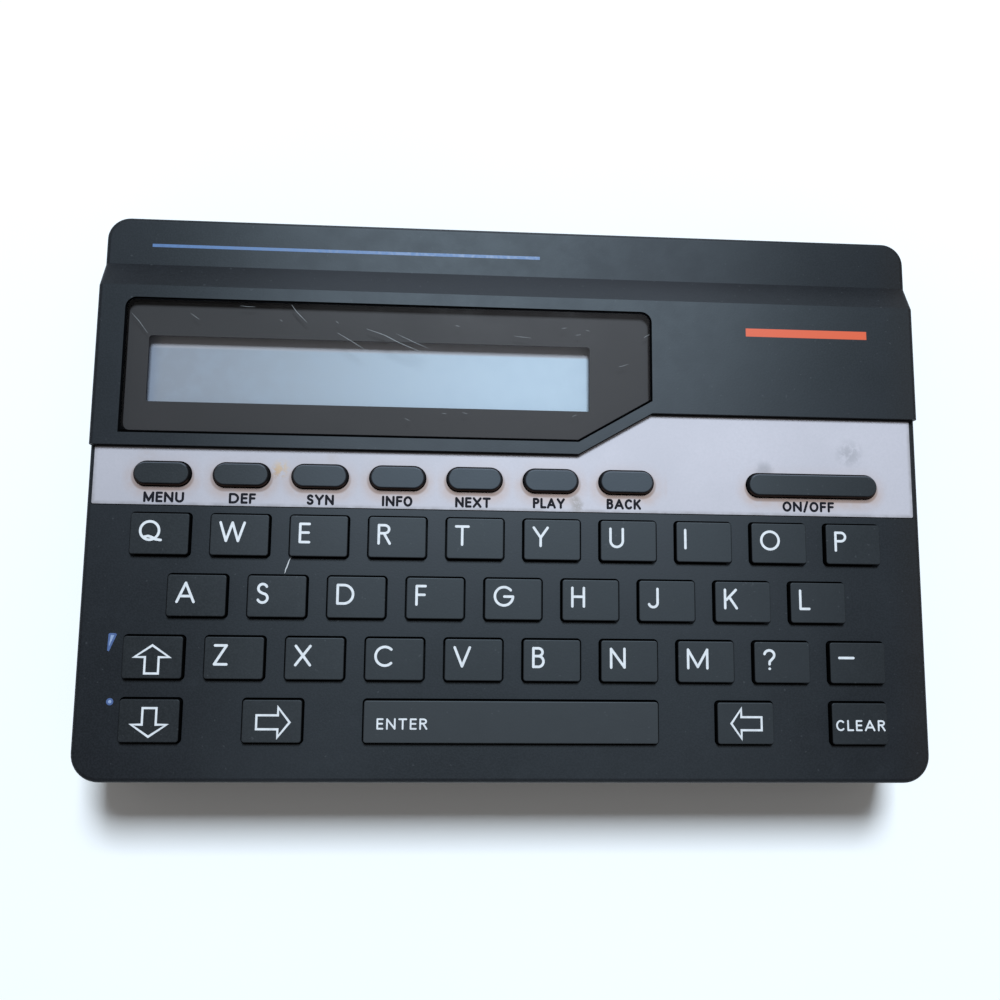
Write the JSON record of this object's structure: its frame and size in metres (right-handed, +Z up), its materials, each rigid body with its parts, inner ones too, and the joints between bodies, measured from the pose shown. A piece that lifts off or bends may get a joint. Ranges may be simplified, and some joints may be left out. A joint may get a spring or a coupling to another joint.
{
  "type": "electronic dictionary",
  "caption": "Flat handheld electronic dictionary with a raised display deck, one-line LCD window, silver function-key strip, letter keyboard and sliding battery cover.",
  "frame": {"origin": "centre of the footprint on the plane the feet rest on", "axes": "+X to the right along the keyboard rows, +Y towards the display and the rear edge, +Z up out of the keyboard"},
  "size_m": [0.1386, 0.0932, 0.0192],
  "materials": {
    "case_black": "fine matt texture, moulded",
    "key_black": "fine matt texture, moulded",
    "strip_silver": "satin silver-grey print",
    "window_clear": "clear, lightly smoked, scratched",
    "mask_black": "printed film",
    "lcd_grey": "blue-grey reflective panel, blank",
    "silicone_grey": "moulded silicone",
    "pcb_green": "solder mask",
    "chip_black": "moulded epoxy",
    "screw_steel": "zinc plated",
    "cell_jacket": "plain sleeve over a steel can",
    "spring_steel": "nickel plated",
    "foot_rubber": "matt"
  },
  "bodies": {
    "case": {"top_case": "case_black", "bottom_case": "case_black", "function_strip": "strip_silver", "display_window": "window_clear", "window_mask": "mask_black", "lcd_panel": "lcd_grey", "zebra_connector": "silicone_grey", "keypad_mat": "silicone_grey", "main_pcb": "pcb_green", "pcb_components": "chip_black", "pcb_screws": "screw_steel", "battery_cells": "cell_jacket", "battery_springs": "spring_steel", "battery_contacts": "spring_steel", "case_screws": "screw_steel", "rubber_feet": "foot_rubber"},
    "battery_cover": {"battery_cover": "case_black"},
    "key_q": {"key_q": "key_black"},
    "key_w": {"key_w": "key_black"},
    "key_e": {"key_e": "key_black"},
    "key_r": {"key_r": "key_black"},
    "key_t": {"key_t": "key_black"},
    "key_y": {"key_y": "key_black"},
    "key_u": {"key_u": "key_black"},
    "key_i": {"key_i": "key_black"},
    "key_o": {"key_o": "key_black"},
    "key_p": {"key_p": "key_black"},
    "key_a": {"key_a": "key_black"},
    "key_s": {"key_s": "key_black"},
    "key_d": {"key_d": "key_black"},
    "key_f": {"key_f": "key_black"},
    "key_g": {"key_g": "key_black"},
    "key_h": {"key_h": "key_black"},
    "key_j": {"key_j": "key_black"},
    "key_k": {"key_k": "key_black"},
    "key_l": {"key_l": "key_black"},
    "key_up": {"key_up": "key_black"},
    "key_z": {"key_z": "key_black"},
    "key_x": {"key_x": "key_black"},
    "key_c": {"key_c": "key_black"},
    "key_v": {"key_v": "key_black"},
    "key_b": {"key_b": "key_black"},
    "key_n": {"key_n": "key_black"},
    "key_m": {"key_m": "key_black"},
    "key_question": {"key_question": "key_black"},
    "key_dash": {"key_dash": "key_black"},
    "key_down": {"key_down": "key_black"},
    "key_right": {"key_right": "key_black"},
    "key_enter": {"key_enter": "key_black"},
    "key_left": {"key_left": "key_black"},
    "key_clear": {"key_clear": "key_black"},
    "key_menu": {"key_menu": "key_black"},
    "key_def": {"key_def": "key_black"},
    "key_syn": {"key_syn": "key_black"},
    "key_info": {"key_info": "key_black"},
    "key_next": {"key_next": "key_black"},
    "key_play": {"key_play": "key_black"},
    "key_back": {"key_back": "key_black"},
    "key_on_off": {"key_on_off": "key_black"}
  },
  "joints": [
    {"name": "battery_cover_slide", "type": "slide", "parent": "case", "child": "battery_cover", "axis": [0, 1, 0], "range_m": [0, 0.03]},
    {"name": "key_q_press", "type": "slide", "parent": "case", "child": "key_q", "axis": [0, 0, -1], "range_m": [0, 0.0008], "stiffness_N_per_m": 500, "deforming": ["keypad_mat"]},
    {"name": "key_w_press", "type": "slide", "parent": "case", "child": "key_w", "axis": [0, 0, -1], "range_m": [0, 0.0008], "stiffness_N_per_m": 500, "deforming": ["keypad_mat"]},
    {"name": "key_e_press", "type": "slide", "parent": "case", "child": "key_e", "axis": [0, 0, -1], "range_m": [0, 0.0008], "stiffness_N_per_m": 500, "deforming": ["keypad_mat"]},
    {"name": "key_r_press", "type": "slide", "parent": "case", "child": "key_r", "axis": [0, 0, -1], "range_m": [0, 0.0008], "stiffness_N_per_m": 500, "deforming": ["keypad_mat"]},
    {"name": "key_t_press", "type": "slide", "parent": "case", "child": "key_t", "axis": [0, 0, -1], "range_m": [0, 0.0008], "stiffness_N_per_m": 500, "deforming": ["keypad_mat"]},
    {"name": "key_y_press", "type": "slide", "parent": "case", "child": "key_y", "axis": [0, 0, -1], "range_m": [0, 0.0008], "stiffness_N_per_m": 500, "deforming": ["keypad_mat"]},
    {"name": "key_u_press", "type": "slide", "parent": "case", "child": "key_u", "axis": [0, 0, -1], "range_m": [0, 0.0008], "stiffness_N_per_m": 500, "deforming": ["keypad_mat"]},
    {"name": "key_i_press", "type": "slide", "parent": "case", "child": "key_i", "axis": [0, 0, -1], "range_m": [0, 0.0008], "stiffness_N_per_m": 500, "deforming": ["keypad_mat"]},
    {"name": "key_o_press", "type": "slide", "parent": "case", "child": "key_o", "axis": [0, 0, -1], "range_m": [0, 0.0008], "stiffness_N_per_m": 500, "deforming": ["keypad_mat"]},
    {"name": "key_p_press", "type": "slide", "parent": "case", "child": "key_p", "axis": [0, 0, -1], "range_m": [0, 0.0008], "stiffness_N_per_m": 500, "deforming": ["keypad_mat"]},
    {"name": "key_a_press", "type": "slide", "parent": "case", "child": "key_a", "axis": [0, 0, -1], "range_m": [0, 0.0008], "stiffness_N_per_m": 500, "deforming": ["keypad_mat"]},
    {"name": "key_s_press", "type": "slide", "parent": "case", "child": "key_s", "axis": [0, 0, -1], "range_m": [0, 0.0008], "stiffness_N_per_m": 500, "deforming": ["keypad_mat"]},
    {"name": "key_d_press", "type": "slide", "parent": "case", "child": "key_d", "axis": [0, 0, -1], "range_m": [0, 0.0008], "stiffness_N_per_m": 500, "deforming": ["keypad_mat"]},
    {"name": "key_f_press", "type": "slide", "parent": "case", "child": "key_f", "axis": [0, 0, -1], "range_m": [0, 0.0008], "stiffness_N_per_m": 500, "deforming": ["keypad_mat"]},
    {"name": "key_g_press", "type": "slide", "parent": "case", "child": "key_g", "axis": [0, 0, -1], "range_m": [0, 0.0008], "stiffness_N_per_m": 500, "deforming": ["keypad_mat"]},
    {"name": "key_h_press", "type": "slide", "parent": "case", "child": "key_h", "axis": [0, 0, -1], "range_m": [0, 0.0008], "stiffness_N_per_m": 500, "deforming": ["keypad_mat"]},
    {"name": "key_j_press", "type": "slide", "parent": "case", "child": "key_j", "axis": [0, 0, -1], "range_m": [0, 0.0008], "stiffness_N_per_m": 500, "deforming": ["keypad_mat"]},
    {"name": "key_k_press", "type": "slide", "parent": "case", "child": "key_k", "axis": [0, 0, -1], "range_m": [0, 0.0008], "stiffness_N_per_m": 500, "deforming": ["keypad_mat"]},
    {"name": "key_l_press", "type": "slide", "parent": "case", "child": "key_l", "axis": [0, 0, -1], "range_m": [0, 0.0008], "stiffness_N_per_m": 500, "deforming": ["keypad_mat"]},
    {"name": "key_up_press", "type": "slide", "parent": "case", "child": "key_up", "axis": [0, 0, -1], "range_m": [0, 0.0008], "stiffness_N_per_m": 500, "deforming": ["keypad_mat"]},
    {"name": "key_z_press", "type": "slide", "parent": "case", "child": "key_z", "axis": [0, 0, -1], "range_m": [0, 0.0008], "stiffness_N_per_m": 500, "deforming": ["keypad_mat"]},
    {"name": "key_x_press", "type": "slide", "parent": "case", "child": "key_x", "axis": [0, 0, -1], "range_m": [0, 0.0008], "stiffness_N_per_m": 500, "deforming": ["keypad_mat"]},
    {"name": "key_c_press", "type": "slide", "parent": "case", "child": "key_c", "axis": [0, 0, -1], "range_m": [0, 0.0008], "stiffness_N_per_m": 500, "deforming": ["keypad_mat"]},
    {"name": "key_v_press", "type": "slide", "parent": "case", "child": "key_v", "axis": [0, 0, -1], "range_m": [0, 0.0008], "stiffness_N_per_m": 500, "deforming": ["keypad_mat"]},
    {"name": "key_b_press", "type": "slide", "parent": "case", "child": "key_b", "axis": [0, 0, -1], "range_m": [0, 0.0008], "stiffness_N_per_m": 500, "deforming": ["keypad_mat"]},
    {"name": "key_n_press", "type": "slide", "parent": "case", "child": "key_n", "axis": [0, 0, -1], "range_m": [0, 0.0008], "stiffness_N_per_m": 500, "deforming": ["keypad_mat"]},
    {"name": "key_m_press", "type": "slide", "parent": "case", "child": "key_m", "axis": [0, 0, -1], "range_m": [0, 0.0008], "stiffness_N_per_m": 500, "deforming": ["keypad_mat"]},
    {"name": "key_question_press", "type": "slide", "parent": "case", "child": "key_question", "axis": [0, 0, -1], "range_m": [0, 0.0008], "stiffness_N_per_m": 500, "deforming": ["keypad_mat"]},
    {"name": "key_dash_press", "type": "slide", "parent": "case", "child": "key_dash", "axis": [0, 0, -1], "range_m": [0, 0.0008], "stiffness_N_per_m": 500, "deforming": ["keypad_mat"]},
    {"name": "key_down_press", "type": "slide", "parent": "case", "child": "key_down", "axis": [0, 0, -1], "range_m": [0, 0.0008], "stiffness_N_per_m": 500, "deforming": ["keypad_mat"]},
    {"name": "key_right_press", "type": "slide", "parent": "case", "child": "key_right", "axis": [0, 0, -1], "range_m": [0, 0.0008], "stiffness_N_per_m": 500, "deforming": ["keypad_mat"]},
    {"name": "key_enter_press", "type": "slide", "parent": "case", "child": "key_enter", "axis": [0, 0, -1], "range_m": [0, 0.0008], "stiffness_N_per_m": 700, "deforming": ["keypad_mat"]},
    {"name": "key_left_press", "type": "slide", "parent": "case", "child": "key_left", "axis": [0, 0, -1], "range_m": [0, 0.0008], "stiffness_N_per_m": 500, "deforming": ["keypad_mat"]},
    {"name": "key_clear_press", "type": "slide", "parent": "case", "child": "key_clear", "axis": [0, 0, -1], "range_m": [0, 0.0008], "stiffness_N_per_m": 500, "deforming": ["keypad_mat"]},
    {"name": "key_menu_press", "type": "slide", "parent": "case", "child": "key_menu", "axis": [0, 0, -1], "range_m": [0, 0.0008], "stiffness_N_per_m": 500, "deforming": ["keypad_mat"]},
    {"name": "key_def_press", "type": "slide", "parent": "case", "child": "key_def", "axis": [0, 0, -1], "range_m": [0, 0.0008], "stiffness_N_per_m": 500, "deforming": ["keypad_mat"]},
    {"name": "key_syn_press", "type": "slide", "parent": "case", "child": "key_syn", "axis": [0, 0, -1], "range_m": [0, 0.0008], "stiffness_N_per_m": 500, "deforming": ["keypad_mat"]},
    {"name": "key_info_press", "type": "slide", "parent": "case", "child": "key_info", "axis": [0, 0, -1], "range_m": [0, 0.0008], "stiffness_N_per_m": 500, "deforming": ["keypad_mat"]},
    {"name": "key_next_press", "type": "slide", "parent": "case", "child": "key_next", "axis": [0, 0, -1], "range_m": [0, 0.0008], "stiffness_N_per_m": 500, "deforming": ["keypad_mat"]},
    {"name": "key_play_press", "type": "slide", "parent": "case", "child": "key_play", "axis": [0, 0, -1], "range_m": [0, 0.0008], "stiffness_N_per_m": 500, "deforming": ["keypad_mat"]},
    {"name": "key_back_press", "type": "slide", "parent": "case", "child": "key_back", "axis": [0, 0, -1], "range_m": [0, 0.0008], "stiffness_N_per_m": 500, "deforming": ["keypad_mat"]},
    {"name": "key_on_off_press", "type": "slide", "parent": "case", "child": "key_on_off", "axis": [0, 0, -1], "range_m": [0, 0.0008], "stiffness_N_per_m": 700, "deforming": ["keypad_mat"]}
  ]
}
